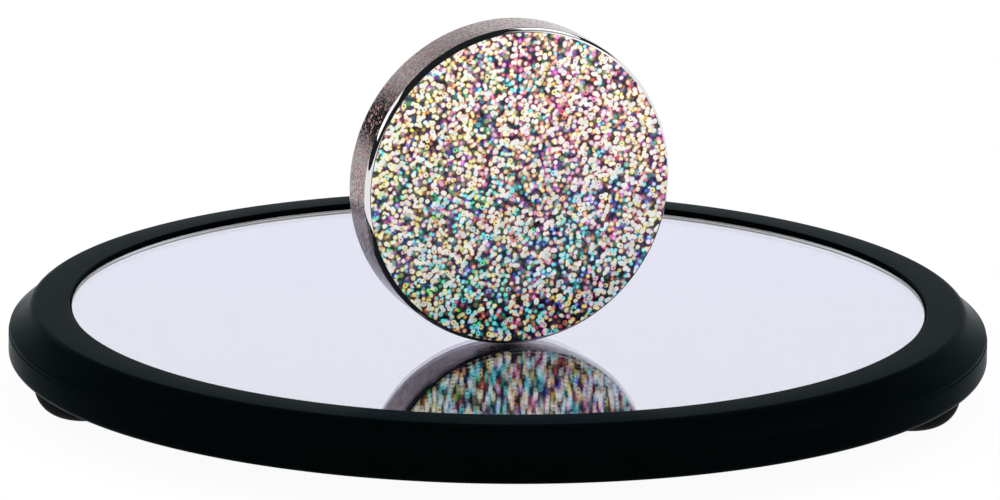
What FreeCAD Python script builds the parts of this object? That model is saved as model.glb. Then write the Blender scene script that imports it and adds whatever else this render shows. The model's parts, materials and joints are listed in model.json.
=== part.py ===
"""Spinning disk on a dished mirror.

A heavy chromed steel disk stands on its rim on a round mirror, which is slightly hollow so that the disk stays
near the middle while it spins, rolls and settles. The mirror lies in a moulded black ring of two parts, an upper
bezel and a lower tray, on three rubber feet. A sparkling film on magnetic sheet clings to one face of the disk.

Millimetres, +Z up. The origin is the middle of the base on the floor, and the user sits towards -Y.
"""
import FreeCAD, Part

import math
import os
import re
import Sketcher

# Driving sizes in millimetres, or degrees where the name ends in _angle.
SIZES = {
    # ring, seen in section from the lip beside the mirror outwards and down
    "base_diameter": (232.0, "widest size of the base, at the tray's wall"),
    "lip_height": (21.0, "top of the ring above the floor"),
    "lip_bevel": (0.3, "bevel of the opening's edge"),
    "face_width": (8.9, "flat top face of the ring, from the opening outwards"),
    "face_fall": (0.3, "how far that face falls towards its outer edge"),
    "face_round": (2.0, "rounding between the face and the flank"),
    "flank_width": (5.3, "from that face out to the ridge"),
    "flank_drop": (5.9, "from the lip down to the ridge"),
    "flank_hollow": (0.4, "depth of the flank's hollow"),
    "ridge_round": (0.35, "rounding of the ridge"),
    "ridge_band": (0.9, "upright band under the ridge"),
    "bezel_wall": (2.2, "wall of the upper moulding"),
    "tongue_depth": (1.2, "how far the bezel's tongue reaches into the tray"),
    "tongue_width": (1.3, "thickness of that tongue"),
    "tongue_gap": (0.1, "gap between the tongue and the tray's wall"),
    "shelf_width": (7.5, "shelf that carries the mirror, from the opening inwards"),
    "shelf_thickness": (2.2, "thickness of that shelf"),
    # tray
    "ridge_inset": (0.2, "step from the tray's wall in to the ridge above it"),
    "tray_wall": (2.2, "wall of the tray"),
    "tray_floor": (2.0, "floor of the tray"),
    "tray_round": (1.8, "rounding between the tray's wall and floor"),
    "platform_inner": (56.0, "inner diameter of the ring under the middle of the mirror"),
    "platform_outer": (76.0, "outer diameter of that ring"),
    "rib_count": (8, "stiffening ribs between the platform and the edge of the tray"),
    "rib_width": (1.6, "thickness of a rib"),
    "rib_drop": (0.8, "top of the ribs below the platform"),
    "rib_gap": (1.1, "from the ribs' ends to the bezel's shelf"),
    # mirror
    "mirror_gap": (0.4, "from the edge of the glass disc to the opening's wall"),
    "mirror_thickness": (2.0, "glass"),
    "mirror_curve": (1900.0, "radius of the hollow in the glass"),
    "mirror_recess": (0.8, "edge of the glass below the lip"),
    "silver_thickness": (0.15, "silvering and its backing paint"),
    "tape_thickness": (0.8, "adhesive foam tape under the edge of the mirror, where it is thinnest"),
    "tape_width": (5.0, "width of that tape"),
    "tape_margin": (1.6, "from the opening's wall in to the tape"),
    "pad_thickness": (1.5, "foam ring under the middle of the mirror"),
    # feet and screws
    "foot_height": (7.8, "underside of the tray above the floor"),
    "foot_diameter": (23.8, "foot where it meets the tray"),
    "foot_patch": (7.8, "flat patch that a foot stands on"),
    "foot_round": (8.0, "radius of a foot's side"),
    "foot_inset": (14.6, "from the tray's wall in to the middle of a foot"),
    "foot_angle": (16.6, "front feet, how far they are turned forward of the sides"),
    "foot_neck": (5.8, "neck of a foot in its hole"),
    "foot_head": (8.6, "button that holds a foot in its hole"),
    "foot_button": (1.5, "thickness of that button"),
    "screw_count": (3, "screws that join tray and bezel"),
    "screw_inset": (8.5, "from the tray's wall in to a screw"),
    "screw_core": (3.0, "screw shank and its pilot hole"),
    "screw_head": (5.6, "head across"),
    "head_height": (1.9, "height of the head"),
    "head_gap": (0.4, "gap round a screw and its head"),
    "head_depth": (2.4, "depth of the countersunk seat from below"),
    "screw_grip": (5.0, "how far a screw bites into the bezel"),
    "bezel_boss": (6.4, "boss round a pilot hole"),
    "tray_boss": (9.0, "boss round a screw's seat"),
    "boss_rise": (2.1, "top of the tray's bosses above its floor"),
    # disk, which stands where it is about to be spun, in front of the middle
    "disk_diameter": (76.2, "steel disk"),
    "disk_thickness": (12.7, "steel disk"),
    "disk_edge": (1.3, "rounding of the disk's two edges"),
    "disk_gap": (0.2, "air between the disk's rim and the mirror"),
    "disk_right": (2.4, "where the disk stands, towards +X of the middle"),
    "disk_front": (19.8, "where the disk stands, towards -Y of the middle"),
    "disk_turn_angle": (20.5, "how far its sparkling face is turned from -Y towards +X"),
    "foil_margin": (1.0, "bare edge of the disk round the foil"),
    "foil_gap": (0.05, "air between the magnetic sheet and the disk"),
    "magnet_thickness": (0.45, "magnetic sheet that carries the film"),
    "film_thickness": (0.2, "sparkling film"),
}

# Sizes that follow from those, written with the same names.
FOLLOWS = {
    "tray_r": "base_diameter / 2",
    "ridge_r": "tray_r - ridge_inset",
    "face_r": "ridge_r - flank_width",
    "opening_r": "face_r - face_width",
    "tray_inner_r": "tray_r - tray_wall",
    "tongue_r": "tray_inner_r - tongue_gap",
    "tongue_inner_r": "tongue_r - tongue_width",
    "well_r": "opening_r + bezel_wall",
    "shelf_r": "opening_r - shelf_width",
    "face_z": "lip_height - face_fall",
    "ridge_z": "lip_height - flank_drop",
    "parting_z": "ridge_z - ridge_band",
    "flank_chord": "sqrt(flank_width ^ 2 + (flank_drop - face_fall) ^ 2)",
    "flank_curve": "flank_chord ^ 2 / (8 * flank_hollow) + flank_hollow / 2",
    "floor_z": "foot_height + tray_floor",
    "mirror_r": "opening_r - mirror_gap",
    "bowl_centre": "lip_height - mirror_recess + sqrt(mirror_curve ^ 2 - mirror_r ^ 2)",
    "back": "mirror_thickness",
    "silvered": "mirror_thickness + silver_thickness",
    "tape_outer_r": "opening_r - tape_margin",
    "tape_inner_r": "tape_outer_r - tape_width",
    "shelf_z": "bowl_centre - sqrt((mirror_curve + silvered) ^ 2 - tape_inner_r ^ 2) - tape_thickness",
    "platform_z": "bowl_centre - mirror_curve - silvered - pad_thickness",
    "rib_height": "platform_z - rib_drop - floor_z",
    "rib_end": "shelf_r - rib_gap",
    "screw_r": "tray_r - screw_inset",
    "boss_z": "floor_z + boss_rise",
    "seat_z": "foot_height + head_depth",
    "foot_place_r": "tray_r - foot_inset",
    "foot_r": "foot_diameter / 2",
    "patch_r": "foot_patch / 2",
    "neck_r": "foot_neck / 2",
    "button_r": "foot_head / 2",
    "button_z": "floor_z + foot_button",
    "disk_r": "disk_diameter / 2",
    "disk_stand": "bowl_centre - sqrt(mirror_curve ^ 2 - disk_right ^ 2 - disk_front ^ 2)",
    "disk_lean": "asin((disk_right * sin(disk_turn_angle) + disk_front * cos(disk_turn_angle)) / mirror_curve)",
}


def formula(text):
    """The spreadsheet formula for a size written in the names above."""
    def spell(match):
        word = match.group(0)
        if word in FOLLOWS:
            return "(" + formula(FOLLOWS[word]) + ")"
        return "Sizes." + word if word in SIZES else word
    return re.sub(r"[a-z_]+", spell, text)


def bowl(depth, radius):
    """Height of the mirror's hollow at a radius, or of the layer that lies depth below it."""
    return f"bowl_centre - sqrt((mirror_curve + {depth}) ^ 2 - ({radius}) ^ 2)"


doc = FreeCAD.newDocument("SpinningDisk")
sheet = doc.addObject("Spreadsheet::Sheet", "Sizes")
for row, (alias, (number, meaning)) in enumerate(SIZES.items(), start=1):
    sheet.set(f"A{row}", alias)
    sheet.set(f"B{row}", str(number))
    sheet.set(f"C{row}", meaning)
    sheet.setAlias(f"B{row}", alias)
doc.recompute()


def number(text):
    """What such a formula comes to, as a plain number."""
    result = sheet.evalExpression(formula(text))
    return float(getattr(result, "Value", result))


def new_body(label):
    body = doc.addObject("PartDesign::Body", label)
    body.Label = label
    return body


def new_sketch(body, plane, lift="0"):
    """An empty sketch on one of the body's own planes, lifted along the plane's normal."""
    sketch = body.newObject("Sketcher::SketchObject", "Sketch")
    role = plane + "_Plane"
    sketch.AttachmentSupport = [(next(f for f in body.Origin.OriginFeatures if f.Role == role), "")]
    sketch.MapMode = "FlatFace"
    sketch.setExpression("AttachmentOffset.Base.z", formula(lift))
    return sketch


def tie(sketch, kind, *where_and_size):
    """A dimension of a sketch, driven by the sheet."""
    *where, size = where_and_size
    index = sketch.addConstraint(Sketcher.Constraint(kind, *where, number(size)))
    sketch.setExpression(f"Constraints[{index}]", formula(size))


def tie_point(sketch, curve, end, across, up):
    """Dimensions that place a point of a sketch from its origin."""
    if across == "0":
        sketch.addConstraint(Sketcher.Constraint("PointOnObject", curve, end, -2))
    else:
        tie(sketch, "DistanceX", -1, 1, curve, end, across)
    if up == "0":
        sketch.addConstraint(Sketcher.Constraint("PointOnObject", curve, end, -1))
    else:
        tie(sketch, "DistanceY", -1, 1, curve, end, up)


def arc_between(start, finish, radius, centre_side):
    """The short arc from start to finish, whose centre lies to the left or right of the way there."""
    chord = finish - start
    reach = math.sqrt(radius ** 2 - (chord.Length / 2) ** 2)
    left = FreeCAD.Vector(-chord.y, chord.x, 0).normalize()
    centre = (start + finish) / 2 + left * (reach if centre_side == "left" else -reach)
    first, last = (start, finish) if centre_side == "left" else (finish, start)
    angles = [math.atan2(p.y - centre.y, p.x - centre.x) for p in (first, last)]
    return Part.ArcOfCircle(Part.Circle(centre, FreeCAD.Vector(0, 0, 1), radius), *angles)


def outline(body, plane, steps, lift="0"):
    """A closed outline. A step is a corner (across, up), or ("arc", radius, side) between two corners."""
    sketch = new_sketch(body, plane, lift)
    corners = [step for step in steps if step[0] != "arc"]
    points = [FreeCAD.Vector(number(across), number(up), 0) for across, up in corners]
    ends = []
    for index, corner in enumerate(corners):
        start, finish = points[index], points[(index + 1) % len(points)]
        after = steps[(steps.index(corner) + 1) % len(steps)]
        if after[0] == "arc":
            radius, side = after[1:]
            curve = sketch.addGeometry(arc_between(start, finish, number(radius), side), False)
            tie(sketch, "Radius", curve, radius)
            ends.append((curve, 1, 2) if side == "left" else (curve, 2, 1))
        else:
            curve = sketch.addGeometry(Part.LineSegment(start, finish), False)
            ends.append((curve, 1, 2))
    for index, (curve, begin, _) in enumerate(ends):
        before, _, end = ends[index - 1]
        sketch.addConstraint(Sketcher.Constraint("Coincident", before, end, curve, begin))
        tie_point(sketch, curve, begin, *corners[index])
    return sketch


def circles(body, plane, rounds, lift="0"):
    """A sketch of circles, each (across, up, diameter)."""
    sketch = new_sketch(body, plane, lift)
    for across, up, diameter in rounds:
        middle = FreeCAD.Vector(number(across), number(up), 0)
        circle = Part.Circle(middle, FreeCAD.Vector(0, 0, 1), number(diameter) / 2)
        curve = sketch.addGeometry(circle, False)
        tie_point(sketch, curve, 3, across, up)
        tie(sketch, "Diameter", curve, diameter)
    return sketch


def revolve(body, steps):
    """A solid of revolution about the body's Z axis; across is the radius and up is the height."""
    feature = body.newObject("PartDesign::Revolution", "Revolution")
    feature.Profile = outline(body, "XZ", steps)
    feature.ReferenceAxis = (feature.Profile[0], ["V_Axis"])
    feature.Angle = 360
    doc.recompute()
    return feature


def pad(body, sketch, length):
    feature = body.newObject("PartDesign::Pad", "Pad")
    feature.Profile = sketch
    feature.setExpression("Length", formula(length))
    doc.recompute()
    return feature


def pocket(body, sketch, depth, upwards=True):
    """A pocket from its sketch, which has to take something away."""
    before = body.Shape.Volume
    feature = body.newObject("PartDesign::Pocket", "Pocket")
    feature.Profile = sketch
    feature.Reversed = upwards
    feature.setExpression("Length", formula(depth))
    doc.recompute()
    if body.Shape.Volume > before - 1e-3:
        raise RuntimeError(f"a pocket in {body.Label} cuts nothing")
    return feature


def ring_of(body, features, count):
    """Repeats features of a body round its Z axis."""
    pattern = body.newObject("PartDesign::PolarPattern", "PolarPattern")
    pattern.Originals = features
    pattern.Axis = (next(f for f in body.Origin.OriginFeatures if f.Role == "Z_Axis"), [""])
    pattern.Angle = 360
    pattern.setExpression("Occurrences", formula(count))
    body.Tip = pattern
    doc.recompute()


def dress(body, kind, size, chosen):
    """A fillet or chamfer of the edges of the body that chosen picks."""
    base = body.Tip
    edges = base.Shape.Edges
    names = [f"Edge{i}" for i, edge in enumerate(edges, start=1) if chosen(edge)]
    feature = body.newObject("PartDesign::" + kind, kind)
    feature.Base = (base, names)
    feature.setExpression("Radius" if kind == "Fillet" else "Size", formula(size))
    doc.recompute()


def circle_at(radius, height):
    """Picks the round edge of that radius and height about the Z axis."""
    def chosen(edge):
        curve = edge.Curve
        if not isinstance(curve, Part.Circle):
            return False
        return abs(curve.Radius - number(radius)) < 1e-4 and abs(curve.Center.z - number(height)) < 1e-4
    return chosen


def make_bezel():
    """Upper moulding: flat face, hollow flank, ridge, tongue, and the well and shelf that hold the mirror."""
    body = new_body("bezel")
    revolve(body, [
        ("opening_r", "lip_height"), ("face_r", "face_z"), ("arc", "flank_curve", "left"),
        ("ridge_r", "ridge_z"), ("ridge_r", "parting_z"), ("tongue_r", "parting_z"),
        ("tongue_r", "parting_z - tongue_depth"), ("tongue_inner_r", "parting_z - tongue_depth"),
        ("tongue_inner_r", "ridge_z"), ("face_r - bezel_wall", "face_z - bezel_wall"),
        ("well_r", "lip_height - bezel_wall"),
        ("well_r", "shelf_z - shelf_thickness"), ("shelf_r", "shelf_z - shelf_thickness"),
        ("shelf_r", "shelf_z"), ("opening_r", "shelf_z"),
    ])
    place = [("0", "-screw_r", "bezel_boss")]
    boss = pad(body, circles(body, "XY", place, "boss_z"), "lip_height - bezel_wall - boss_z")
    hole = [("0", "-screw_r", "screw_core")]
    pilot = pocket(body, circles(body, "XY", hole, "boss_z"), "screw_grip")
    ring_of(body, [boss, pilot], "screw_count")
    dress(body, "Chamfer", "lip_bevel", circle_at("opening_r", "lip_height"))
    dress(body, "Fillet", "face_round", circle_at("face_r", "face_z"))
    dress(body, "Fillet", "ridge_round", circle_at("ridge_r", "ridge_z"))
    return body


def make_tray():
    """Lower moulding: a shallow pan with a platform, ribs, screw seats and the holes that hold the feet."""
    body = new_body("tray")
    revolve(body, [
        ("0", "foot_height"), ("tray_r - tray_round", "foot_height"), ("arc", "tray_round", "left"),
        ("tray_r", "foot_height + tray_round"), ("tray_r", "parting_z"), ("tray_inner_r", "parting_z"),
        ("tray_inner_r", "floor_z"), ("0", "floor_z"),
    ])
    platform = [("0", "0", "platform_inner"), ("0", "0", "platform_outer")]
    pad(body, circles(body, "XY", platform, "floor_z"), "platform_z - floor_z")
    rib = outline(body, "XY", [
        ("platform_outer / 2 - 1", "-rib_width / 2"), ("rib_end", "-rib_width / 2"),
        ("rib_end", "rib_width / 2"), ("platform_outer / 2 - 1", "rib_width / 2"),
    ], "floor_z")
    ring_of(body, [pad(body, rib, "rib_height")], "rib_count")
    boss = pad(body, circles(body, "XY", [("0", "-screw_r", "tray_boss")], "floor_z"), "boss_rise")
    seat = circles(body, "XY", [("0", "-screw_r", "screw_head + 2 * head_gap")], "foot_height")
    seat = pocket(body, seat, "head_depth")
    way = circles(body, "XY", [("0", "-screw_r", "screw_core + 2 * head_gap")], "seat_z")
    way = pocket(body, way, "boss_z - seat_z")
    ring_of(body, [boss, seat, way], "screw_count")
    sockets = [(*foot_place(turn), "foot_neck") for turn in FEET.values()]
    pocket(body, circles(body, "XY", sockets, "foot_height"), "tray_floor")
    return body


def make_mirror_glass():
    """Slightly hollow glass disc."""
    body = new_body("mirror_glass")
    revolve(body, [
        ("0", bowl("0", "0")), ("arc", "mirror_curve", "left"), ("mirror_r", bowl("0", "mirror_r")),
        ("mirror_r", bowl("back", "mirror_r")), ("arc", "mirror_curve + back", "right"), ("0", bowl("back", "0")),
    ])
    return body


def make_mirror_silvering():
    """Silver and its grey backing paint, on the back of the glass."""
    body = new_body("mirror_silvering")
    revolve(body, [
        ("0", bowl("back", "0")), ("arc", "mirror_curve + back", "left"), ("mirror_r", bowl("back", "mirror_r")),
        ("mirror_r", bowl("silvered", "mirror_r")), ("arc", "mirror_curve + silvered", "right"),
        ("0", bowl("silvered", "0")),
    ])
    return body


def make_mirror_tape():
    """Ring of adhesive foam tape between the mirror and the bezel's shelf."""
    body = new_body("mirror_tape")
    revolve(body, [
        ("tape_inner_r", bowl("silvered", "tape_inner_r")), ("arc", "mirror_curve + silvered", "left"),
        ("tape_outer_r", bowl("silvered", "tape_outer_r")), ("tape_outer_r", "shelf_z"),
        ("tape_inner_r", "shelf_z"),
    ])
    return body


def make_centre_pad():
    """Foam ring between the tray's platform and the middle of the mirror."""
    body = new_body("centre_pad")
    inner, outer = "platform_inner / 2", "platform_outer / 2"
    revolve(body, [
        (inner, "platform_z"), (outer, "platform_z"), (outer, bowl("silvered", outer)),
        ("arc", "mirror_curve + silvered", "right"), (inner, bowl("silvered", inner)),
    ])
    return body


# Each foot and the direction of its place from the middle of the base, from +X towards +Y.
FEET = {"foot_right": "-foot_angle", "foot_rear": "90", "foot_left": "180 + foot_angle"}


def foot_place(turn):
    """Where the foot in that direction stands."""
    return f"foot_place_r * cos({turn})", f"foot_place_r * sin({turn})"


def make_foot(label, turn):
    """Rubber foot: a domed button below the tray, a neck through its floor and a head that snaps over it."""
    body = new_body(label)
    revolve(body, [
        ("0", "0"), ("patch_r", "0"), ("arc", "foot_round", "left"), ("foot_r", "foot_height"),
        ("neck_r", "foot_height"), ("neck_r", "floor_z"), ("button_r", "floor_z"),
        ("neck_r", "button_z"), ("0", "button_z"),
    ])
    across, back = foot_place(turn)
    body.setExpression("Placement.Base.x", formula(across))
    body.setExpression("Placement.Base.y", formula(back))
    return body


def make_tray_screws():
    """Pan-head screws that come up through the tray into the bezel."""
    body = new_body("tray_screws")
    body.AllowCompound = True
    head = circles(body, "XY", [("0", "-screw_r", "screw_head")], "seat_z - head_height")
    head = pad(body, head, "head_height")
    shank = circles(body, "XY", [("0", "-screw_r", "screw_core")], "seat_z")
    shank = pad(body, shank, "boss_z + screw_grip - seat_z")
    ring_of(body, [head, shank], "screw_count")
    return body


def stand_on_mirror(body):
    """Puts a piece drawn with the disk's rim at its origin and its face to -Y where the disk stands."""
    spot = "create(<<vector>>; Sizes.disk_right; -Sizes.disk_front; " + formula("disk_stand") + ")"
    turn = "create(<<rotation>>; " + formula("disk_turn_angle") + "; 0; " + formula("-disk_lean") + ")"
    body.setExpression("Placement", f"create(<<placement>>; {spot}; {turn})")


def make_disk():
    """Solid steel disk with rounded edges, standing square on the hollow glass."""
    body = new_body("disk")
    face = circles(body, "XZ", [("0", "disk_r + disk_gap", "disk_diameter")], "-disk_thickness / 2")
    pad(body, face, "disk_thickness")
    dress(body, "Fillet", "disk_edge", lambda edge: isinstance(edge.Curve, Part.Circle))
    stand_on_mirror(body)
    return body


def make_foil(label, behind, thickness):
    """A layer of the round foil, whose back lies so far in front of the disk's front face."""
    body = new_body(label)
    face = circles(body, "XZ", [("0", "disk_r + disk_gap", "2 * (disk_r - foil_margin)")], f"disk_thickness / 2 + {behind}")
    pad(body, face, thickness)
    stand_on_mirror(body)
    return body


pieces = [
    make_bezel(), make_tray(), make_mirror_glass(), make_mirror_silvering(), make_mirror_tape(),
    make_centre_pad(), make_tray_screws(), make_disk(),
    make_foil("magnet_sheet", "foil_gap", "magnet_thickness"),
    make_foil("holographic_film", "foil_gap + magnet_thickness", "film_thickness"),
]
pieces += [make_foot(label, turn) for label, turn in FEET.items()]
doc.recompute()

for item in doc.Objects:
    if {"Invalid", "Error"} & set(item.State):
        raise RuntimeError(f"{item.Label} failed: {item.State}")
for piece in pieces:
    if piece.Shape.isNull() or not piece.Shape.isValid():
        raise RuntimeError(f"{piece.Label} has no valid shape")

os.makedirs("parts", exist_ok=True)
for piece in pieces:
    piece.Shape.exportStep(f"parts/{piece.Label}.step")
    print(piece.Label, len(piece.Shape.Solids), "solids", round(piece.Shape.Volume), "mm3")
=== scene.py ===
"""Looks of the spinning disk on its hollow mirror.

The frame gives every place and most sizes. Round pieces are turned again here with finer facets and real
edges, and every piece gets a material named for what it is made of. Metres, +Z up, the user sits towards -Y.
"""
import json
import math

import bpy
from mathutils import Matrix, Vector


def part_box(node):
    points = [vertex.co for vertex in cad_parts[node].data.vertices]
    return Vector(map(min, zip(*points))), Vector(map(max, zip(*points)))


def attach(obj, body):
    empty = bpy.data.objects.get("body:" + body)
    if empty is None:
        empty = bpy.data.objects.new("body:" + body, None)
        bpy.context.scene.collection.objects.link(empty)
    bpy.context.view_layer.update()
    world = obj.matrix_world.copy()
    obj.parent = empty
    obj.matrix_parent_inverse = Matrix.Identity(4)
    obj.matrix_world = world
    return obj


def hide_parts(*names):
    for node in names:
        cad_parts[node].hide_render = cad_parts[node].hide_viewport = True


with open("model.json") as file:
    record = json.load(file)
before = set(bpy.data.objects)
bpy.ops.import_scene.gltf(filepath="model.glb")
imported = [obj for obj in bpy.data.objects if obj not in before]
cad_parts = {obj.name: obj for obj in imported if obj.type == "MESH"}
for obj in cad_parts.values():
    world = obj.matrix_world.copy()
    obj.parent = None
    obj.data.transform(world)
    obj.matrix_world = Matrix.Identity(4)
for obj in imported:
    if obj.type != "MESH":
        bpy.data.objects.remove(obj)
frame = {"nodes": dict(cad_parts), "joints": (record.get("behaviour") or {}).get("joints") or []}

bl_info = {
    "name": "Spinning Disk",
    "version": (1, 0, 0),
    "blender": (4, 5, 0),
    "location": "View3D > Sidebar > Spinning Disk",
    "description": "Builds the looks of a chromed disk that spins on a hollow mirror",
    "category": "Add Mesh",
}

MM = 0.001
ON_AXIS = 1e-7  # metres: a point nearer to the axis than this lies on it
SMOOTH_BEND = math.radians(35)  # a sharper bend than this is a real edge

# facets round a turned piece
SCREW_FACETS = 48
FOOT_FACETS = 96
PLATE_FACETS = 480
DISK_FACETS = 720
DISH_RINGS = 96  # rings from the middle of the mirror to its edge

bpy.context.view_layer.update()  # the frame's own box, before any piece is added
NODES = frame["nodes"]
JOINTS = {joint["name"]: joint for joint in frame["joints"]}


def linear(hex_colour):
    """The linear colour of an sRGB hex value."""
    parts = [int(hex_colour[i:i + 2], 16) / 255 for i in (0, 2, 4)]
    return [c / 12.92 if c <= 0.04045 else ((c + 0.055) / 1.055) ** 2.4 for c in parts]


# Properties


def length(name, description, default):
    """A size in metres."""
    return bpy.props.FloatProperty(
        name=name, description=description, default=default, unit="LENGTH", precision=5)


def colour(name, description, hex_colour):
    """A colour, given as an sRGB hex value and kept as a linear one."""
    return bpy.props.FloatVectorProperty(
        name=name, description=description, default=linear(hex_colour), subtype="COLOR", min=0, max=1)


def angle(name, description, degrees):
    """An angle, given in degrees and kept in radians."""
    return bpy.props.FloatProperty(
        name=name, description=description, default=math.radians(degrees), subtype="ANGLE")


class RingSettings(bpy.types.PropertyGroup):
    """The black ring: bezel, tray, feet and screws."""
    face_width: length("Face", "Width of the flat top face", 8.9 * MM)
    face_fall: length("Fall", "How far the face falls towards its outer edge", 0.3 * MM)
    face_round: length("Shoulder", "Rounding between the face and the flank", 2.0 * MM)
    lip_round: length("Lip", "Rounding of the opening's edge", 0.3 * MM)
    flank_width: length("Flank", "From the face out to the ridge", 5.3 * MM)
    flank_drop: length("Drop", "From the lip down to the ridge", 5.9 * MM)
    flank_hollow: length("Hollow", "Depth of the flank's hollow", 0.4 * MM)
    ridge_band: length("Band", "Upright band under the ridge", 0.9 * MM)
    ridge_round: length("Ridge", "Rounding of the ridge", 0.35 * MM)
    fine_edge: length("Fine edge", "Rounding at the parting line, and band above a foot's dome", 0.1 * MM)
    wall: length("Wall", "Wall of both mouldings", 2.2 * MM)
    shelf: length("Shelf", "Shelf under the mirror, from the opening inwards", 7.5 * MM)
    tongue: length("Tongue", "Thickness of the tongue that enters the tray", 1.3 * MM)
    tongue_gap: length("Tongue clearance", "Room between the tongue and the tray's wall", 0.1 * MM)
    tongue_depth: length("Tongue depth", "How far the tongue enters the tray", 1.2 * MM)
    tray_floor: length("Tray floor", "Floor of the tray", 2.0 * MM)
    tray_round: length("Tray edge", "Rounding under the tray's wall", 1.8 * MM)
    foot_patch: length("Foot patch", "Flat patch that a foot stands on", 7.8 * MM)
    head: length("Screw head", "Screw head across", 5.6 * MM)
    head_height: length("Head height", "Height of a screw head", 1.9 * MM)
    head_round: length("Head dome", "Rounding of a screw head", 1.14 * MM)
    head_gap: length("Head clearance", "Room round a screw head in its seat", 0.4 * MM)
    core: length("Screw core", "Screw shank across", 3.024 * MM)
    seat_depth: length("Recess", "Depth of a screw's seat", 2.4 * MM)
    boss_wall: length("Boss wall", "Wall round a screw's seat", 0.3 * MM)
    boss_root: length("Boss root", "How far a screw's boss reaches into the tray's floor", 0.4 * MM)
    plastic: colour("Plastic", "Black plastic of bezel and tray", "020404")
    sheen: colour("Sheen", "Faint sheen of the plastic at a low angle", "7fc0dc")
    rubber: colour("Rubber", "Black rubber of the feet", "070808")
    zinc: colour("Zinc", "Plated screws", "b9bab8")


class MirrorSettings(bpy.types.PropertyGroup):
    """The hollow mirror."""
    curve: length("Hollow", "Radius of the hollow in the glass", 1900 * MM)
    thickness: length("Glass", "Thickness of the glass", 2.0 * MM)
    seam: length("Bevel", "Fine bevel round the glass", 0.15 * MM)
    silver_thickness: length("Silver", "Silvering and its paint", 0.15 * MM)
    silver_gap: length("Silver clearance", "Keeps the silver's surface off the glass's", 0.02 * MM)
    # painted reflection: the glass's faint blue and the silver's lavender together paint the lavender studio
    # that the mirror reflects
    glass: colour("Glass", "Tint of the glass", "fafbff")
    silver: colour("Silver", "Silvering seen through the glass", "edeeff")
    backing: colour("Backing", "Paint behind the silver", "6f7376")
    tape: colour("Tape", "Adhesive foam tape", "e4e3de")
    foam: colour("Foam", "Foam pad under the middle", "4a4a4c")


class DiskSettings(bpy.types.PropertyGroup):
    """The steel disk."""
    diameter: length("Diameter", "Disk across", 76.2 * MM)
    thickness: length("Thickness", "Disk from face to face", 12.7 * MM)
    edge: length("Edge", "Rounding of its two edges", 1.3 * MM)
    polished: colour("Polished", "Chrome plate on the faces and edges", "e6e4e5")
    satin: colour("Satin", "Chrome plate on the blasted rim", "9f9293")
    # painted reflection: reddish specks that stand for red glints which the blasted rim reflects
    painted_red_glints: colour("Stain", "Reddish specks of the blasted rim", "b8625a")


class FoilSettings(bpy.types.PropertyGroup):
    """The sparkling foil."""
    margin: length("Margin", "Bare edge of the disk round the foil", 1.0 * MM)
    gap: length("Air", "Air behind the magnetic sheet", 0.05 * MM)
    sheet: length("Sheet", "Thickness of the magnetic sheet", 0.45 * MM)
    film: length("Film", "Thickness of the film", 0.2 * MM)
    cut: length("Cut", "Rounding of the cut edges", 0.05 * MM)
    dot: length("Dot", "Diameter of a sparkling dot", 1.3 * MM)
    # painted highlights: strength of the best lit dots, painted into the film's colour
    painted_glint: bpy.props.FloatProperty(name="Glint", description="Strength of the best lit dots", default=14.0)
    magnet: colour("Magnet", "Magnetic sheet", "1c1918")
    deep: colour("Deep", "Film that catches no light", "05041a")
    pale: colour("Dull dots", "Mean tint of the dull dots", "8577a6")


class StageSettings(bpy.types.PropertyGroup):
    """Camera, floor and light."""
    distance: length("Distance", "Camera to the middle of the lip", 3.5553)
    elevation: angle("Elevation", "Camera above the lip", 14.545)
    roll: angle("Roll", "Camera turned about its line of sight", 0.687)
    aim_right: length("Aim right", "Where the camera aims, towards +X", 0.25 * MM)
    aim_back: length("Aim back", "Where the camera aims, towards +Y", 3.15 * MM)
    aim_up: length("Aim up", "Where the camera aims, above the lip", 12.26 * MM)
    lens: bpy.props.FloatProperty(name="Lens", description="Focal length in millimetres", default=540)
    floor_size: length("Floor size", "Sides of the square floor", 40.0)
    softboxes_away: length("Softboxes", "From the middle of the floor to the softboxes", 2.0)
    floor: colour("Floor", "Pale floor", "fbfbfb")
    room: colour("Room", "Even light of the room", "fdfdfe")
    dim: colour("Dim", "Corners and ceiling of the studio, seen in gloss", "202224")


# Meshes


def turned(name, profile, facets, place=None):
    """A turned piece: a closed outline of (radius, height) points taken round its own Z axis."""
    verts, faces, rings = [], [], []
    for radius, height in profile:
        if radius < ON_AXIS:
            rings.append([len(verts)] * facets)
            verts.append((0, 0, height))
            continue
        rings.append(list(range(len(verts), len(verts) + facets)))
        for step in range(facets):
            turn = 2 * math.pi * step / facets
            verts.append((radius * math.cos(turn), radius * math.sin(turn), height))
    for lower, upper in zip(rings, rings[1:] + rings[:1]):
        # a line along the axis sweeps out no face
        if lower[0] == lower[1] and upper[0] == upper[1]:
            continue
        for step in range(facets):
            after = (step + 1) % facets
            corners = [lower[step], lower[after], upper[after], upper[step]]
            faces.append(list(dict.fromkeys(corners)))
    return solid(name, verts, faces, place)


def solid(name, verts, faces, place=None):
    """A piece from its corners and faces, smooth but for its real edges."""
    mesh = bpy.data.meshes.new(name)
    mesh.from_pydata(verts, [], faces)
    piece = bpy.data.objects.new(name, mesh)
    bpy.context.scene.collection.objects.link(piece)
    if place is not None:
        piece.matrix_world = place
    crisp(piece)
    return piece


def crisp(piece):
    """Smooth faces, with real edges left sharp."""
    piece.data.polygons.foreach_set("use_smooth", [True] * len(piece.data.polygons))
    piece.data.set_sharp_from_angle(angle=SMOOTH_BEND)


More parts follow.
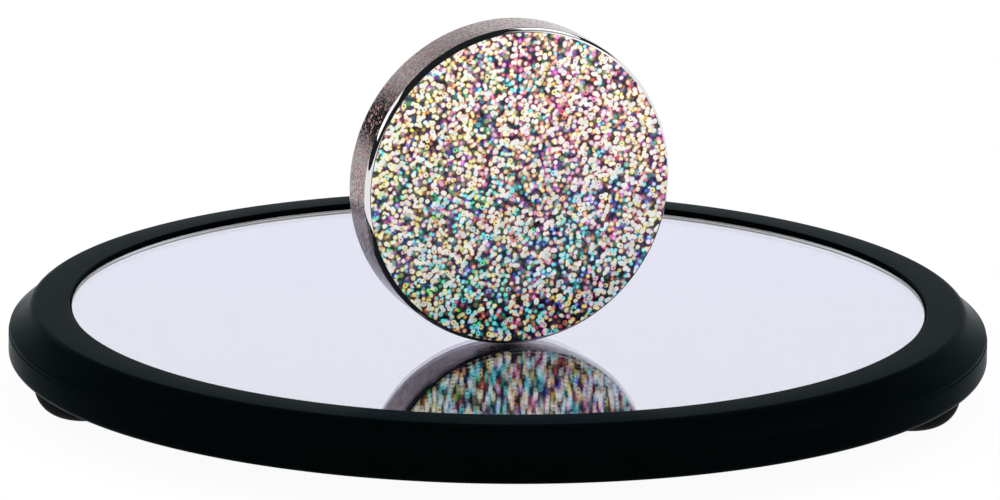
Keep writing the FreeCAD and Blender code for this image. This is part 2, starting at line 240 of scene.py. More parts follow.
def rounded(corners, steps=8):
    """An outline from (radius, height, rounding) corners, each rounded by an arc."""
    outline = []
    for index, (r, z, rounding) in enumerate(corners):
        here = Vector((r, z))
        if rounding <= 0:
            outline.append((r, z))
            continue
        back = (Vector(corners[index - 1][:2]) - here).normalized()
        on = (Vector(corners[(index + 1) % len(corners)][:2]) - here).normalized()
        half = back.angle(on) / 2
        reach = rounding / math.tan(half)
        centre = here + (back + on).normalized() * (rounding / math.sin(half))
        first = here + back * reach - centre
        last = here + on * reach - centre
        turn = math.atan2(first.x * last.y - first.y * last.x, first.dot(last))
        for step in range(steps + 1):
            spoke = Matrix.Rotation(turn * step / steps, 2) @ first
            outline.append(tuple(centre + spoke))
    return outline


def hollow(start, end, depth, steps=6):
    """Corners between two (radius, height) points along a shallow hollow that sinks inwards and down."""
    a, b = Vector(start), Vector(end)
    along = (b - a).normalized()
    inward = Vector((along.y, -along.x))
    points = []
    for step in range(1, steps):
        share = step / steps
        sag = depth * 4 * share * (1 - share)  # a parabola, deepest halfway
        points.append((*(a.lerp(b, share) + inward * sag), 0))
    return points


def carve(piece, tool, operation="DIFFERENCE"):
    """Cuts a tool's shape out of a piece, or welds it on."""
    modifier = piece.modifiers.new(tool.name, "BOOLEAN")
    modifier.operation = operation
    modifier.object = tool
    with bpy.context.temp_override(object=piece, active_object=piece):
        bpy.ops.object.modifier_apply(modifier=modifier.name)
    bpy.data.objects.remove(tool)


def stand_in(piece, node, body, material):
    """Hands a finished piece to the frame in place of its CAD node."""
    piece.data.materials.clear()
    piece.data.materials.append(material)
    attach(piece, body)
    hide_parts(node)


def dress(node, material):
    """Gives a carried-over CAD node its material."""
    NODES[node].data.materials.clear()
    NODES[node].data.materials.append(material)


# Materials


def add(tree, kind, inputs=(), **settings):
    """Adds a node with its settings, then fills or links its sockets.

    Inputs come in the order of the enabled sockets or by name. One that is a node stands for its first
    enabled output.
    """
    node = tree.nodes.new("ShaderNode" + kind)
    for name, value in settings.items():
        setattr(node, name, value)
    sockets = [socket for socket in node.inputs if socket.enabled]
    for key, value in inputs.items() if isinstance(inputs, dict) else enumerate(inputs):
        socket = node.inputs[key] if isinstance(key, str) else sockets[key]
        if isinstance(value, bpy.types.Node):
            value = next(output for output in value.outputs if output.enabled)
        if isinstance(value, bpy.types.NodeSocket):
            tree.links.new(value, socket)
        else:
            socket.default_value = value
    return node


def blank(name):
    """A new material, its node tree, and the place on the piece in millimetres."""
    material = bpy.data.materials.new(name)
    material.use_nodes = True
    tree = material.node_tree
    tree.nodes.clear()
    place = add(tree, "VectorMath", [add(tree, "TexCoord").outputs["Object"], 1 / MM], operation="SCALE")
    return material, tree, place


def tone(shade, share=1.0):
    """A colour with its alpha for a socket, at that share of its brightness."""
    return (*[min(part * share, 1) for part in shade], 1)


def moulded_abs(shade, sheen):
    """ABS moulded in a finely spark-eroded tool.

    It looks black with a satin skin. The 0.15 mm grain is too fine to see: it softens reflections, and its
    sheen is a faint blue-grey at a low angle. The wall sinks slowly over 12 mm, which makes the satin uneven.
    """
    material, tree, place = blank("moulded_abs")
    skin = add(tree, "TexNoise", {"Vector": place, "Scale": 1 / 0.15})
    sink = add(tree, "TexNoise", {"Vector": place, "Scale": 1 / 12})
    tint = add(tree, "Mix", [sink, tone(shade), tone(shade, 1.3)], data_type="RGBA")
    rough = add(tree, "MapRange", [sink, 0.3, 0.7, 0.22, 0.28])
    bump = add(tree, "Bump", {"Height": skin, "Strength": 0.1, "Distance": 0.02 * MM})
    shader = add(tree, "BsdfPrincipled", {
        "Base Color": tint, "Roughness": rough, "Specular IOR Level": 0.002, "Normal": bump,
        "Sheen Weight": 0.06, "Sheen Roughness": 0.35, "Sheen Tint": tone(sheen)})
    add(tree, "OutputMaterial", {"Surface": shader})
    return material


def moulded_rubber(shade):
    """Synthetic rubber moulded in a ground tool: black, with a matt skin that catches a soft edge light."""
    material, tree, place = blank("moulded_rubber")
    skin = add(tree, "TexNoise", {"Vector": place, "Scale": 1 / 0.3})
    tint = add(tree, "Mix", [skin, tone(shade), tone(shade, 1.4)], data_type="RGBA")
    rough = add(tree, "MapRange", [skin, 0.3, 0.7, 0.55, 0.7])
    bump = add(tree, "Bump", {"Height": skin, "Strength": 0.2, "Distance": 0.04 * MM})
    shader = add(tree, "BsdfPrincipled", {
        "Base Color": tint, "Roughness": rough, "Specular IOR Level": 0.02, "IOR": 1.52, "Normal": bump})
    add(tree, "OutputMaterial", {"Surface": shader})
    return material


def zinc_plate(shade):
    """Bright zinc plate on cold-headed steel: pale metal with a faint cloudy bloom."""
    material, tree, place = blank("zinc_plate")
    bloom = add(tree, "TexNoise", {"Vector": place, "Scale": 1 / 0.8})
    tint = add(tree, "Mix", [bloom, tone(shade), tone(shade, 0.8)], data_type="RGBA")
    rough = add(tree, "MapRange", [bloom, 0.3, 0.7, 0.25, 0.4])
    shader = add(tree, "BsdfPrincipled", {"Base Color": tint, "Roughness": rough, "Metallic": 1.0})
    add(tree, "OutputMaterial", {"Surface": shader})
    return material


def float_glass(shade):
    """Soda-lime float glass, bent and polished: clear, with a second, fainter reflection from its front."""
    material, tree, place = blank("float_glass")
    melt = add(tree, "TexNoise", {"Vector": place, "Scale": 1 / 60, "Detail": 0.0})
    tint = add(tree, "Mix", [melt, tone(shade), tone(shade, 0.995)], data_type="RGBA")
    shader = add(tree, "BsdfPrincipled", {
        "Base Color": tint, "Roughness": 0.0, "IOR": 1.5, "Transmission Weight": 1.0})
    add(tree, "OutputMaterial", {"Surface": shader})
    return material


def silvering(shade, backing):
    """Silver laid on the glass and sealed with grey paint: a bright mirror in front, matt paint behind.

    Its lavender tint is a painted reflection of a lavender studio, not the silver's own colour.
    """
    material, tree, place = blank("silvering")
    way = add(tree, "SeparateXYZ", [add(tree, "NewGeometry").outputs["Normal"]])
    front = add(tree, "Math", [way.outputs["Z"], 0.5], operation="GREATER_THAN")
    cloud = add(tree, "TexNoise", {"Vector": place, "Scale": 1 / 25})
    paint = add(tree, "Mix", [cloud, tone(backing), tone(backing, 0.85)], data_type="RGBA")
    # painted reflection: the front's lavender tint turns the white that the mirror reflects into a lavender
    # studio
    tint = add(tree, "Mix", [front, paint, tone(shade)], data_type="RGBA")
    rough = add(tree, "Mix", [front, 0.55, 0.0])
    shader = add(tree, "BsdfPrincipled", {"Base Color": tint, "Metallic": front, "Roughness": rough})
    add(tree, "OutputMaterial", {"Surface": shader})
    return material


def cut_foam(name, shade, cell):
    """Closed-cell foam cut from a sheet: soft and matt, pitted by cut cells of that many millimetres."""
    material, tree, place = blank(name)
    cells = add(tree, "TexVoronoi", {"Vector": place, "Scale": 1 / cell})
    tint = add(tree, "Mix", [cells, tone(shade, 0.7), tone(shade)], data_type="RGBA")
    bump = add(tree, "Bump", {"Height": cells, "Strength": 0.5, "Distance": 0.1 * MM})
    shader = add(tree, "BsdfPrincipled", {"Base Color": tint, "Roughness": 0.9, "Normal": bump})
    add(tree, "OutputMaterial", {"Surface": shader})
    return material


def chrome_plate(polished, satin, painted_red_glints, rim):
    """Chrome plate on steel, polished bright on faces and edges and bead-blasted to a grey satin on the rim.

    The blast leaves 0.35 mm grain and pale and dark patches of 0.6 mm, which mottle what the rim reflects.
    The reddish specks 1.1 mm apart, over small bumps, are a painted reflection of red glints.
    Grain and patches are drawn coarser than real beads leave them, so that they show.
    """
    border = 0.15  # millimetres: half of the soft border between blasted and polished
    material, tree, place = blank("chrome_plate")
    along = add(tree, "SeparateXYZ", [place]).outputs["Z"]
    away = add(tree, "Math", [along], operation="ABSOLUTE")
    bright = add(tree, "MapRange", [away, rim / MM - border, rim / MM + border])
    beads = add(tree, "TexNoise", {"Vector": place, "Scale": 1 / 0.35, "Detail": 1.0})
    wear = add(tree, "TexNoise", {"Vector": place, "Scale": 1 / 0.6})
    specks = add(tree, "TexVoronoi", {"Vector": place, "Scale": 1 / 1.1})
    worn = add(tree, "MapRange", [wear, 0.35, 0.65])
    dull = add(tree, "Mix", [worn, tone(satin, 1.2), tone(satin, 0.45)], data_type="RGBA")
    # painted reflection: the reddish specks paint red glints into the blasted rim's colour
    speckled = add(tree, "MapRange", [specks, 0.2, 0.4, 1.0, 0.0])
    dull = add(tree, "Mix", [speckled, dull, tone(painted_red_glints)], data_type="RGBA")
    tint = add(tree, "Mix", [bright, dull, tone(polished)], data_type="RGBA")
    rough = add(tree, "Mix", [bright, 0.08, 0.03])
    blasted = add(tree, "Math", [1.0, bright], operation="SUBTRACT")
    bumps = add(tree, "MapRange", [specks, 0.0, 0.35, 5.0, 0.0])
    relief = add(tree, "Math", [bumps, beads], operation="ADD")
    bump = add(tree, "Bump", {"Height": relief, "Strength": blasted, "Distance": 0.05 * MM})
    shader = add(tree, "BsdfPrincipled", {
        "Base Color": tint, "Metallic": 1.0, "Roughness": rough, "Normal": bump})
    add(tree, "OutputMaterial", {"Surface": shader})
    return material


def bonded_magnet(shade):
    """Ferrite powder bonded in rubber and calendered into sheet: dull dark brown with a fine speckle."""
    material, tree, place = blank("bonded_magnet")
    speck = add(tree, "TexNoise", {"Vector": place, "Scale": 1 / 0.2})
    tint = add(tree, "Mix", [speck, tone(shade), tone(shade, 1.5)], data_type="RGBA")
    shader = add(tree, "BsdfPrincipled", {"Base Color": tint, "Roughness": 0.7})
    add(tree, "OutputMaterial", {"Surface": shader})
    return material


def holographic_film(foil):
    """Metallised polyester film embossed with overlapping round gratings.

    Its glints are painted into its colour: each dot has a painted highlight of its own hue and strength.
    Strong painted highlights burn out to white with a fringe of their hue, and between them the film stays
    dark, with dull dots in tints of their own.
    """
    edge = 35  # millimetres from the middle to near the film's edge
    fill = 0.9  # share of a cell's width that its dot fills
    material, tree, place = blank("holographic_film")
    dot = foil.dot / MM
    right = add(tree, "SeparateXYZ", [place]).outputs["X"]
    up = add(tree, "SeparateXYZ", [place]).outputs["Y"]

    # a patch of a few dots shares three drifts: how bright its painted highlights are, which hue and how many
    #     # of them are cool, and the duller a patch is, the more of its dots are cool
    patch = 4.5  # millimetres
    drift = add(tree, "TexNoise", {"Vector": place, "Scale": 1 / patch, "Detail": 2.0})
    drift = add(tree, "SeparateXYZ", [drift.outputs["Color"]])
    # 0 near the foot of the film and 1 above it: at the foot the painted glints are fewer, stronger and more
    #     # vivid, and the dull dots are fainter
    lower = add(tree, "MapRange", [up, -30, -14, 0.0, 1.0])
    painted_highlight_strength = add(tree, "MapRange", [drift.outputs["X"], 0.35, 0.68, 0.3, 2.9])
    # painted light: the painted glints are made stronger towards the right of the film and near its foot
    for share in (add(tree, "MapRange", [right, -edge, edge, 0.65, 1.35]),
                  add(tree, "MapRange", [lower, 0, 1, 2.2, 1.0]), foil.painted_glint):
        painted_highlight_strength = add(tree, "Math", [painted_highlight_strength, share], operation="MULTIPLY")
    skew = add(tree, "MapRange", [lower, 0, 1, 4.9, 3.3])
    turn = add(tree, "MapRange", [right, -edge, 5, 1.01, 0.965])
    turn_drift = add(tree, "MapRange", [drift.outputs["Y"], 0.32, 0.68, -0.01, 0.05])
    turn = add(tree, "Math", [turn, turn_drift], operation="ADD")
    few = add(tree, "MapRange", [up, -22, 8, 0.48, 0.0])
    few = add(tree, "Math", [right, -0.002, few], operation="MULTIPLY_ADD")
    for shift in (add(tree, "MapRange", [drift.outputs["Z"], 0.32, 0.68, -0.3, 0.3]),
                  add(tree, "MapRange", [drift.outputs["X"], 0.32, 0.68, 0.35, -0.35])):
        few = add(tree, "Math", [few, shift], operation="ADD")
    greenest = add(tree, "MapRange", [right, -edge, edge, 0.26, 0.5])

    # three sheets of dots shine through each other, each turned and shifted so that no two line up
    quiet = add(tree, "MapRange", [lower, 0, 1, 0.2, 1.0])
    palest = add(tree, "MapRange", [lower, 0, 1, 0.88, 0.75])
    shade = add(tree, "CombineXYZ", foil.deep)
    for sheet in range(3):
        spun = add(tree, "VectorRotate", {"Vector": place, "Angle": 0.4 + 0.7 * sheet},
                   rotation_type="Z_AXIS")
        moved = add(tree, "VectorMath", [spun, (17.3 * sheet, 9.1 * sheet, 0)], operation="ADD")
        cells = add(tree, "TexVoronoi", {"Vector": moved, "Scale": fill / dot, "Randomness": 1.0},
                    voronoi_dimensions="2D")
        reach = add(tree, "Math", [cells, fill / 2], operation="DIVIDE")

        # each dot has six random numbers of its own
        chance = add(tree, "SeparateXYZ", [cells.outputs["Color"]])
        again = add(tree, "TexWhiteNoise", [cells.outputs["Color"]])
        other = add(tree, "SeparateXYZ", [again.outputs["Color"]])

        # each painted highlight fades from the middle of its dot, and one dot in ten is a painted
        #         # bright ring round a dark middle
        painted_glint = add(tree, "MapRange", [reach, 0.0, 1.03, 1.0, 0.0], interpolation_type="SMOOTHSTEP")
        off_ring = add(tree, "Math", [reach, 0.65], operation="SUBTRACT")
        off_ring = add(tree, "Math", [off_ring], operation="ABSOLUTE")
        ring = add(tree, "MapRange", [off_ring, 0.1, 0.45, 0.5, 0.0])
        ringed = add(tree, "Math", [other.outputs["Y"], 0.1], operation="LESS_THAN")
        painted_glint = add(tree, "Mix", [ringed, painted_glint, ring])
        power = add(tree, "Math", [chance.outputs["X"], skew], operation="POWER")
        power = add(tree, "Math", [power, painted_highlight_strength], operation="MULTIPLY")
        power = add(tree, "Math", [power, painted_glint], operation="MULTIPLY")

        # warm hues lie between red and yellow at the left and between pink and orange at the right, and cool
        # dots gather below
        warm = add(tree, "Math", [chance.outputs["Y"], 0.1, turn], operation="MULTIPLY_ADD")
        cool = add(tree, "MapRange", [chance.outputs["Y"], 0, 1, greenest, 0.68])
        is_cool = add(tree, "Math", [chance.outputs["Z"], few], operation="LESS_THAN")
        hue = add(tree, "Math", [add(tree, "Mix", [is_cool, warm, cool])], operation="FRACT")
        vivid = add(tree, "MapRange", [other.outputs["Z"], 0, 1, palest, 0.95])
        tint = add(tree, "CombineColor", [hue, vivid, 1.0], mode="HSV")
        power = add(tree, "Math", [power, add(tree, "Mix", [is_cool, 1.0, 0.5])], operation="MULTIPLY")
        # painted highlight: the dot's hue at its strength, added into the film's colour
        light = add(tree, "VectorMath", [tint, power], operation="SCALE")
        shade = add(tree, "VectorMath", [shade, light], operation="ADD")

        # where no painted highlight falls, some dots show a dull tint of their own with a faint outline
        level = add(tree, "Math", [chance.outputs["Z"], 2.5], operation="POWER")
        disc = add(tree, "MapRange", [reach, 0.85, 1.0, 1.0, 0.15])
        level = add(tree, "Math", [level, disc], operation="MULTIPLY")
        outline = add(tree, "MapRange", [reach, 0.75, 1.0, 0.0, 0.04])
        level = add(tree, "Math", [level, outline], operation="ADD")
        level = add(tree, "Math", [level, quiet], operation="MULTIPLY")
        own = add(tree, "CombineColor", [other.outputs["X"], 0.95, 0.65], mode="HSV")
        dull = add(tree, "Mix", [0.55, tone(foil.pale), own], data_type="RGBA")
        dull = add(tree, "VectorMath", [dull, level], operation="SCALE")
        shade = add(tree, "VectorMath", [shade, dull], operation="ADD")

    shade = add(tree, "VectorMath", [shade, (1, 1, 1)], operation="MINIMUM")

    # the embossing leans the surface of each dot of the last sheet its own way
    lean = add(tree, "VectorMath", [cells.outputs["Color"], (0.5, 0.5, 0.5)], operation="SUBTRACT")
    lean = add(tree, "VectorMath", [lean, 0.5], operation="SCALE")
    lean = add(tree, "VectorTransform", [lean], convert_from="OBJECT", convert_to="WORLD")
    normal = add(tree, "VectorMath", [add(tree, "NewGeometry").outputs["Normal"], lean], operation="ADD")
    normal = add(tree, "VectorMath", [normal], operation="NORMALIZE")
    shader = add(tree, "BsdfPrincipled", {
        "Base Color": shade, "Metallic": 0.06, "Roughness": 0.3, "Specular IOR Level": 0.03,
        "Normal": normal})
    add(tree, "OutputMaterial", {"Surface": shader})
    return material


# Pieces


def settings():
    """What the panel sets."""
    return bpy.context.scene.spinning_disk


def disk_place():
    """Where the disk stands: its axis along Z, its upright along Y and its middle at the origin."""
    low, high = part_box("disk")
    middle = (Vector(low) + Vector(high)) / 2
    facing = Vector(JOINTS["foil_pull"]["axis"]).normalized()
    upright = Vector(JOINTS["disk_spin"]["axis"]).normalized()
    across = upright.cross(facing).normalized()
    return Matrix.Translation(middle) @ Matrix((across, upright, facing)).transposed().to_4x4()


def node_middle(node):
    """Middle of a CAD node seen from above."""
    low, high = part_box(node)
    return (low[0] + high[0]) / 2, (low[1] + high[1]) / 2


class SPINDISK_OT_bezel(bpy.types.Operator):
    """Turns the upper moulding round the mirror"""
    bl_idname = "spindisk.bezel"
    bl_label = "Bezel"

    def execute(self, context):
        ring = settings().ring
        tray_inner_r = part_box("tray")[1][0] - ring.wall
        ridge_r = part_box("bezel")[1][0]
        face_r = ridge_r - ring.flank_width
        opening_r = face_r - ring.face_width
        parting_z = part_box("tray")[1][2]
        ridge_z = parting_z + ring.ridge_band
        lip_z = ridge_z + ring.flank_drop
        face_z = lip_z - ring.face_fall
        shelf_r = opening_r - ring.shelf
        shelf_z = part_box("mirror_tape")[0][2]
        tongue_r = tray_inner_r - ring.tongue_gap
        tongue_z = parting_z - ring.tongue_depth
        corners = [
            (opening_r, lip_z, ring.lip_round), (face_r, face_z, ring.face_round),
            *hollow((face_r, face_z), (ridge_r, ridge_z), ring.flank_hollow),
            (ridge_r, ridge_z, ring.ridge_round), (ridge_r, parting_z, ring.fine_edge),
            (tongue_r, parting_z, 0), (tongue_r, tongue_z, 0),
            (tongue_r - ring.tongue, tongue_z, 0), (tongue_r - ring.tongue, ridge_z, 0),
            (face_r - ring.wall, face_z - ring.wall, 0), (opening_r + ring.wall, lip_z - ring.wall, 0),
            (opening_r + ring.wall, shelf_z - ring.wall, 0), (shelf_r, shelf_z - ring.wall, 0),
            (shelf_r, shelf_z, 0), (opening_r, shelf_z, 0),
        ]
        bezel = turned("bezel_moulding", rounded(corners), PLATE_FACETS)
        stand_in(bezel, "bezel", "base", moulded_abs(ring.plastic, ring.sheen))
        return {"FINISHED"}


class SPINDISK_OT_tray(bpy.types.Operator):
    """Turns the tray and cuts its screw seats"""
    bl_idname = "spindisk.tray"
    bl_label = "Tray"

    def execute(self, context):
        ring = settings().ring
        (_, _, under_z), (tray_r, _, parting_z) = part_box("tray")
        floor_z = under_z + ring.tray_floor
        pan = turned("tray_moulding", rounded([
            (0, under_z, 0), (tray_r, under_z, ring.tray_round), (tray_r, parting_z, ring.fine_edge),
            (tray_r - ring.wall, parting_z, 0), (tray_r - ring.wall, floor_z, 0), (0, floor_z, 0),
        ]), PLATE_FACETS)
        seat_r = ring.head / 2 + ring.head_gap
        seat_z = under_z + ring.seat_depth
        seat = [(0, 0), (seat_r, 0), (seat_r, seat_z), (0, seat_z)]
        boss_r = seat_r + ring.boss_wall
        root_z = floor_z - ring.boss_root
        boss_z = seat_z + ring.wall
        boss = [(0, root_z), (boss_r, root_z), (boss_r, boss_z), (0, boss_z)]
        for place in screw_places():
            carve(pan, turned("boss", boss, SCREW_FACETS, place), "UNION")
            carve(pan, turned("seat", seat, SCREW_FACETS, place))
        crisp(pan)
        stand_in(pan, "tray", "base", moulded_abs(ring.plastic, ring.sheen))
        return {"FINISHED"}


def screw_places():
    """The three screws, evenly round the ring from the front one."""
    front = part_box("tray_screws")[0][1] + settings().ring.head / 2
    first = Matrix.Translation((0, front, 0))
    return [Matrix.Rotation(math.radians(120 * step), 4, "Z") @ first for step in range(3)]


class SPINDISK_OT_screws(bpy.types.Operator):
    """Turns the pan-head screws and cuts their cross recesses"""
    bl_idname = "spindisk.screws"
    bl_label = "Screws"

    def execute(self, context):
        ring = settings().ring
        (_, _, low_z), (_, _, top_z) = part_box("tray_screws")
        neck_z = low_z + ring.head_height
        head_r, core_r = ring.head / 2, ring.core / 2
        profile = rounded([
            (0, low_z, 0), (head_r, low_z, ring.head_round), (head_r, neck_z, 0),
            (core_r, neck_z, 0), (core_r, top_z, 0), (0, top_z, 0)])
        zinc = zinc_plate(ring.zinc)
        for number, place in enumerate(screw_places(), 1):
            screw = turned(f"screw_{number}", profile, SCREW_FACETS, place)
            carve(screw, cross_recess(place, low_z, ring.head))
            crisp(screw)
            stand_in(screw, "tray_screws", "base", zinc)
        return {"FINISHED"}


def cross_recess(place, low_z, head):
    """A cross-shaped cutter that tapers into a screw's head from below."""
    below_z, bottom_z = low_z - head * 0.1, low_z + head * 0.24
    arm, half = head * 0.31, head * 0.075
    verts = []
    for taper, height in ((1.0, below_z), (0.55, bottom_z)):
        for turn in range(4):
            for x, y in ((half, half), (arm, half), (arm, -half)):
                corner = Vector((x * taper, y * taper, height))
                verts.append(Matrix.Rotation(math.radians(-90 * turn), 3, "Z") @ corner)
    count = len(verts) // 2
    faces = [tuple(range(count))[::-1], tuple(range(count, 2 * count))]
    for step in range(count):
        after = (step + 1) % count
        faces.append((step, after, count + after, count + step))
    return solid("cross", verts, faces, place)


class SPINDISK_OT_feet(bpy.types.Operator):
    """Turns the rubber feet"""
    bl_idname = "spindisk.feet"
    bl_label = "Feet"

    def execute(self, context):
        ring = settings().ring
        rubber = moulded_rubber(ring.rubber)
        for node in ("foot_left", "foot_right", "foot_rear"):
            (left, _, low_z), (right, _, high_z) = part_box(node)
            foot_r, neck_r = (right - left) / 2, ring.foot_patch / 2
            top_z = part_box("tray")[0][2]
            dome = top_z - low_z - ring.fine_edge
            side = [(0, low_z, 0), (foot_r, low_z, dome), (foot_r, top_z, 0),
                    (neck_r, top_z, 0), (neck_r, high_z, 0), (0, high_z, 0)]
            place = Matrix.Translation((*node_middle(node), 0))
            foot = turned(f"rubber_{node}", rounded(side, steps=16), FOOT_FACETS, place)
            stand_in(foot, node, "base", rubber)
        return {"FINISHED"}


class SPINDISK_OT_mirror(bpy.types.Operator):
    """Turns the hollow glass and its silvering and dresses tape and pad"""
    bl_idname = "spindisk.mirror"
    bl_label = "Mirror"

    def execute(self, context):
        mirror = settings().mirror
        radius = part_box("mirror_glass")[1][0]
        centre_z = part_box("mirror_glass")[1][2] + math.sqrt(mirror.curve ** 2 - radius ** 2)

        def dish(depth, reach=radius - mirror.seam):
            """Points of the hollow from the middle out, that deep below the front of the glass."""
            spread = [reach * step / DISH_RINGS for step in range(DISH_RINGS + 1)]
            return [(r, centre_z - math.sqrt((mirror.curve + depth) ** 2 - r ** 2)) for r in spread]

        top_z = dish(0, radius)[-1][1] - mirror.seam
        low_z = dish(mirror.thickness, radius)[-1][1] + mirror.seam
        plate = dish(mirror.thickness) + [(radius, low_z), (radius, top_z)] + dish(0)[::-1]
        glass = turned("mirror_plate", plate, PLATE_FACETS)
        stand_in(glass, "mirror_glass", "base", float_glass(mirror.glass))
        layer = dish(mirror.thickness + mirror.silver_thickness)
        layer += dish(mirror.thickness + mirror.silver_gap)[::-1]
        silver = turned("silver_layer", layer, PLATE_FACETS)
        stand_in(silver, "mirror_silvering", "base", silvering(mirror.silver, mirror.backing))
        dress("mirror_tape", cut_foam("acrylic_foam_tape", mirror.tape, 0.3))
        dress("centre_pad", cut_foam("polyurethane_foam", mirror.foam, 0.5))
        return {"FINISHED"}


class SPINDISK_OT_disk(bpy.types.Operator):
    """Turns the chromed steel disk"""
    bl_idname = "spindisk.disk"
    bl_label = "Disk"

    def execute(self, context):
        disk = settings().disk
        radius, half = disk.diameter / 2, disk.thickness / 2
        corners = [(0, -half, 0), (radius, -half, disk.edge), (radius, half, disk.edge), (0, half, 0)]
        steel = turned("steel_disk", rounded(corners, steps=24), DISK_FACETS, disk_place())
        chrome = chrome_plate(disk.polished, disk.satin, disk.painted_red_glints, half - disk.edge)
        stand_in(steel, "disk", "disk", chrome)
        return {"FINISHED"}


class SPINDISK_OT_foil(bpy.types.Operator):
    """Cuts the magnetic sheet and the sparkling film"""
    bl_idname = "spindisk.foil"
    bl_label = "Foil"

    def execute(self, context):
        disk, foil = settings().disk, settings().foil
        radius = disk.diameter / 2 - foil.margin
        back = disk.thickness / 2 + foil.gap
        seam = back + foil.sheet
        top = seam + foil.film
        below = [(0, back, 0), (radius, back, foil.cut), (radius, seam, 0), (0, seam, 0)]
        sheet = turned("magnet_disc", rounded(below, steps=4), PLATE_FACETS, disk_place())
        stand_in(sheet, "magnet_sheet", "foil", bonded_magnet(foil.magnet))
        above = [(0, seam, 0), (radius, seam, 0), (radius, top, foil.cut), (0, top, 0)]
        film = turned("film_disc", rounded(above, steps=4), PLATE_FACETS, disk_place())
        stand_in(film, "holographic_film", "foil", holographic_film(foil))
        return {"FINISHED"}


def studio_world(room, dim):
    """White behind the object, even light on it, and a studio for gloss to reflect.

    The studio has a white wall up to about 25 degrees, dim in front and low down at the left, and a dim
    ceiling, so that polished chrome gets dark bands between bright ones.
    """
    world = bpy.data.worlds.new("studio")
    world.use_nodes = True
    tree = world.node_tree
    tree.nodes.clear()
    # every limit is a part of a unit vector, so a height of 0.42 is 25 degrees up
    way = add(tree, "SeparateXYZ", [add(tree, "TexCoord").outputs["Generated"]])
    wall = add(tree, "MapRange", [way.outputs["Z"], 0.47, 0.40])
    not_front = add(tree, "MapRange", [way.outputs["Y"], -0.75, -0.6])
    not_left = add(tree, "MapRange", [way.outputs["X"], -0.60, -0.54])
    not_low = add(tree, "MapRange", [way.outputs["Z"], 0.26, 0.38])
    not_low_left = add(tree, "Math", [not_left, not_low], operation="MAXIMUM")
    bright = add(tree, "Math", [wall, add(tree, "Math", [not_front, not_low_left], operation="MULTIPLY")],
                 operation="MULTIPLY")
    studio = add(tree, "Mix", [bright, tone(dim), (1, 1, 1, 1)], data_type="RGBA")
    ray = add(tree, "LightPath")
    glossy, through = ray.outputs["Is Glossy Ray"], ray.outputs["Is Transmission Ray"]
    shiny = add(tree, "Math", [glossy, through], operation="MAXIMUM")
    seen = add(tree, "Mix", [shiny, tone(room), studio], data_type="RGBA")
    # seen by itself and not in the chrome, the mirror shows the plain white background from every side
    first = add(tree, "Math", [ray.outputs["Glossy Depth"], 1.5], operation="LESS_THAN")
    mirrored = add(tree, "Math", [ray.outputs["Is Singular Ray"], first], operation="MULTIPLY")
    plain = add(tree, "Math", [ray.outputs["Is Camera Ray"], mirrored], operation="MAXIMUM")
    seen = add(tree, "Mix", [plain, seen, (1, 1, 1, 1)], data_type="RGBA")
    background = add(tree, "Background", [seen, 1.0])
    add(tree, "OutputWorld", {"Surface": background})
    bpy.context.scene.world = world


def white_laminate(shade):
    """Matt white laminate: it keeps a faint, soft shadow and otherwise meets the white background."""
    white_share = 0.95  # the rest of what the camera, metal and glass see of the floor is lit and shaded
    material, tree, place = blank("white_laminate")
    fibre = add(tree, "TexNoise", {"Vector": place, "Scale": 1 / 2})
    tint = add(tree, "Mix", [fibre, tone(shade), tone(shade, 0.99)], data_type="RGBA")
    matt = add(tree, "BsdfDiffuse", [tint])
    white = add(tree, "Emission", [(1, 1, 1, 1), 1.0])
    ray = add(tree, "LightPath")
    glossy, through = ray.outputs["Is Glossy Ray"], ray.outputs["Is Transmission Ray"]
    shiny = add(tree, "Math", [glossy, through], operation="MAXIMUM")
    plain = add(tree, "Math", [ray.outputs["Is Camera Ray"], shiny], operation="MAXIMUM")
    share = add(tree, "Math", [plain, white_share], operation="MULTIPLY")
    add(tree, "OutputMaterial", {"Surface": add(tree, "MixShader", [share, matt, white])})
    return material


def softbox(name, away, around, height, width, depth, radiance):
    """A softbox that far away, that far round from the user's side towards +X and that far up, in degrees.

    The camera and the silver behind the glass don't see it. The chrome and the front of the glass do.
    """
    light = bpy.data.lights.new(name, "AREA")
    light.shape = "RECTANGLE"
    light.size, light.size_y = width, depth
    light.energy = radiance * math.pi * width * depth  # an area lamp takes its power, not its radiance
    lamp = bpy.data.objects.new(name, light)
    around, height = math.radians(around), math.radians(height)
    level = math.cos(height)
    way = Vector((math.sin(around) * level, -math.cos(around) * level, math.sin(height)))
    lamp.location = way * away
    lamp.rotation_euler = (-way).to_track_quat("-Z", "Y").to_euler()
    lamp.visible_camera = False
    lamp.visible_transmission = False
    bpy.context.scene.collection.objects.link(lamp)


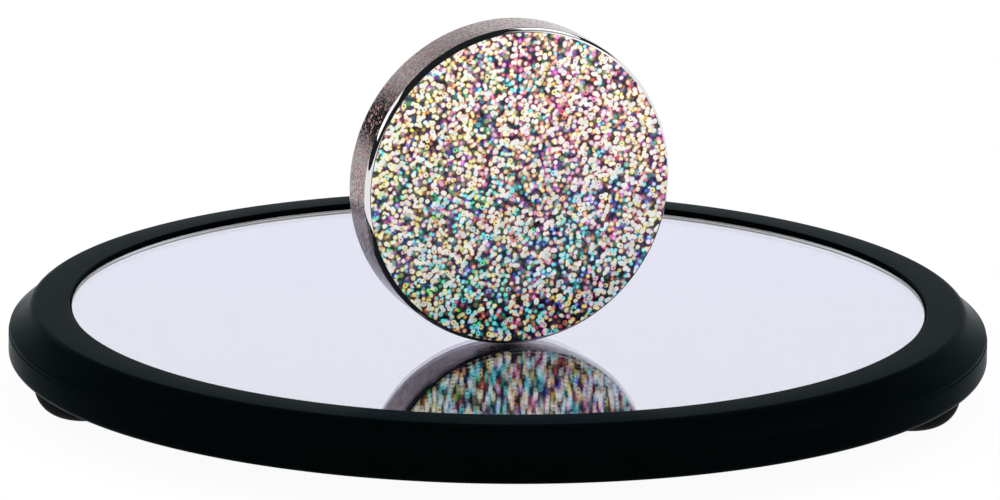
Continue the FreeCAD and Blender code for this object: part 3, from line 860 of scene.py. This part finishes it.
class SPINDISK_OT_stage(bpy.types.Operator):
    """Lays the floor and sets the lamps and the camera"""
    bl_idname = "spindisk.stage"
    bl_label = "Stage"

    def execute(self, context):
        stage = settings().stage
        half = stage.floor_size / 2
        corners = [(-half, -half, 0), (half, -half, 0), (half, half, 0), (-half, half, 0)]
        floor = solid("floor", corners, [(0, 1, 2, 3)])
        floor.data.materials.append(white_laminate(stage.floor))

        lip = Vector((0, 0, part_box("bezel")[1][2]))
        eye = lip + Vector((0, -math.cos(stage.elevation), math.sin(stage.elevation))) * stage.distance
        aim = lip + Vector((stage.aim_right, stage.aim_back, stage.aim_up))
        lens = bpy.data.cameras.new("camera")
        lens.lens = stage.lens
        lens.sensor_width = 36
        lens.clip_end = 50
        camera = bpy.data.objects.new("camera", lens)
        turn = (aim - eye).to_track_quat("-Z", "Y").to_matrix() @ Matrix.Rotation(stage.roll, 3, "Z")
        camera.matrix_world = Matrix.Translation(eye) @ turn.to_4x4()
        context.scene.collection.objects.link(camera)
        context.scene.camera = camera

        away = stage.softboxes_away
        softbox("left_softbox", away, around=-80, height=30, width=2.0, depth=0.85, radiance=1.2)
        softbox("right_softbox", away, around=118, height=58, width=1.6, depth=0.95, radiance=1.5)
        softbox("side_softbox", away, around=60, height=30, width=1.0, depth=1.4, radiance=0.5)
        studio_world(stage.room, stage.dim)
        context.scene.view_settings.view_transform = "Standard"
        return {"FINISHED"}


class SPINDISK_PT_panel(bpy.types.Panel):
    """Buttons and sizes of the spinning disk"""
    bl_idname = "SPINDISK_PT_panel"
    bl_label = "Spinning Disk"
    bl_space_type = "VIEW_3D"
    bl_region_type = "UI"
    bl_category = "Spinning Disk"

    def draw(self, context):
        for operator in OPERATORS:
            self.layout.operator(operator.bl_idname)
        for name in ("ring", "mirror", "disk", "foil", "stage"):
            group = getattr(settings(), name)
            column = self.layout.column(heading=name.capitalize())
            for key in group.__annotations__:
                column.prop(group, key)


class SpinningDiskSettings(bpy.types.PropertyGroup):
    """All settings of the object and its stage."""
    ring: bpy.props.PointerProperty(type=RingSettings)
    mirror: bpy.props.PointerProperty(type=MirrorSettings)
    disk: bpy.props.PointerProperty(type=DiskSettings)
    foil: bpy.props.PointerProperty(type=FoilSettings)
    stage: bpy.props.PointerProperty(type=StageSettings)


OPERATORS = (SPINDISK_OT_bezel, SPINDISK_OT_tray, SPINDISK_OT_screws, SPINDISK_OT_feet,
             SPINDISK_OT_mirror, SPINDISK_OT_disk, SPINDISK_OT_foil, SPINDISK_OT_stage)
GROUPS = (RingSettings, MirrorSettings, DiskSettings, FoilSettings, StageSettings, SpinningDiskSettings)
CLASSES = (*GROUPS, *OPERATORS, SPINDISK_PT_panel)


def register():
    for item in CLASSES:
        bpy.utils.register_class(item)
    bpy.types.Scene.spinning_disk = bpy.props.PointerProperty(type=SpinningDiskSettings)


def unregister():
    del bpy.types.Scene.spinning_disk
    for item in reversed(CLASSES):
        bpy.utils.unregister_class(item)


def main():
    register()
    bpy.ops.spindisk.bezel()
    bpy.ops.spindisk.tray()
    bpy.ops.spindisk.screws()
    bpy.ops.spindisk.feet()
    bpy.ops.spindisk.mirror()
    bpy.ops.spindisk.disk()
    bpy.ops.spindisk.foil()
    bpy.ops.spindisk.stage()


if __name__ == "__main__":
    main()
